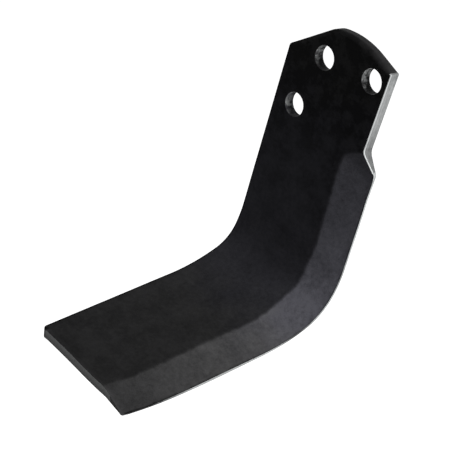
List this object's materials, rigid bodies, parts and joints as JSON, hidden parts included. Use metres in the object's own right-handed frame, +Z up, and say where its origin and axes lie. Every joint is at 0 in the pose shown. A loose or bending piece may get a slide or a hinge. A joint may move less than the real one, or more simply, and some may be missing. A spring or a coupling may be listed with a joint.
{
  "type": "rotary tiller blade",
  "caption": "L-shaped rotary tiller blade forged from flat steel bar, with bolt holes in its arched shank and a long bevelled cutting edge that runs out at the hammered tip of its foot.",
  "frame": {"origin": "centre of the middle bolt hole on the mounting face, which is the face that lies on the rotor's flange", "axes": "+Z up along the shank to its arched end, +Y out of the mounting face along the bolts, +X across the blade from its back edge to its cutting edge; the foot bends away towards -Y and slightly down"},
  "size_m": [0.0826, 0.1461, 0.1966],
  "materials": {
    "painted_steel": "satin black paint, worn to bare steel on the front side face and along the cutting edge"
  },
  "bodies": {
    "root": {"tiller_blade": "painted_steel"}
  },
  "joints": []
}
